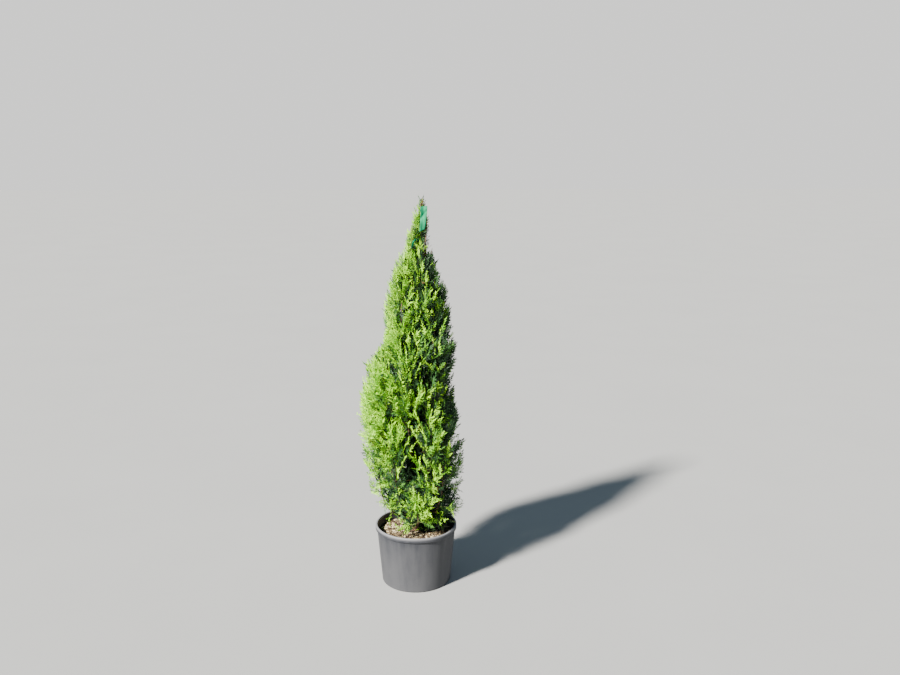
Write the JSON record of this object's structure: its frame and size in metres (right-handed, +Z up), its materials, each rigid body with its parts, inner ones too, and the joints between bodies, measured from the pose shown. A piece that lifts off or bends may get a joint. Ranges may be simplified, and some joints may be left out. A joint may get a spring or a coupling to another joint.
{
  "type": "potted thuja",
  "caption": "Young columnar thuja in a round nursery can: a straight trunk, ascending boughs and upright flat sprays in a dense narrow crown.",
  "frame": {"origin": "centre of the can's flat underside, on the surface that the can stands on", "axes": "+Z up along the trunk, -Y towards the picture's viewer, +X to the viewer's right"},
  "size_m": [0.4016, 0.3878, 1.462],
  "materials": {
    "can": "matte, dusty dark grey",
    "mulch": "rough bark and wood chips",
    "bark": "fibrous red-brown bark",
    "foliage": "satin scale leaves, bright yellow-green",
    "ribbon": "satin green plastic tape"
  },
  "bodies": {
    "root": {"can": "can", "soil": "mulch", "trunk": "bark", "bough_1": "bark", "mass_1": "foliage", "bough_2": "bark", "mass_2": "foliage", "bough_3": "bark", "mass_3": "foliage", "bough_4": "bark", "mass_4": "foliage", "bough_5": "bark", "mass_5": "foliage", "bough_6": "bark", "mass_6": "foliage", "bough_7": "bark", "mass_7": "foliage", "bough_8": "bark", "mass_8": "foliage", "bough_9": "bark", "mass_9": "foliage", "bough_10": "bark", "mass_10": "foliage", "bough_11": "bark", "mass_11": "foliage", "bough_12": "bark", "mass_12": "foliage", "bough_13": "bark", "mass_13": "foliage", "bough_14": "bark", "mass_14": "foliage", "bough_15": "bark", "mass_15": "foliage", "bough_16": "bark", "mass_16": "foliage", "bough_17": "bark", "mass_17": "foliage", "bough_18": "bark", "mass_18": "foliage", "bough_19": "bark", "mass_19": "foliage", "bough_20": "bark", "mass_20": "foliage", "bough_21": "bark", "mass_21": "foliage", "bough_22": "bark", "mass_22": "foliage", "bough_23": "bark", "mass_23": "foliage", "bough_24": "bark", "mass_24": "foliage", "bough_25": "bark", "mass_25": "foliage", "bough_26": "bark", "mass_26": "foliage", "bough_27": "bark", "mass_27": "foliage", "mass_28": "foliage", "mass_29": "foliage", "marker_ribbon": "ribbon"}
  },
  "joints": []
}
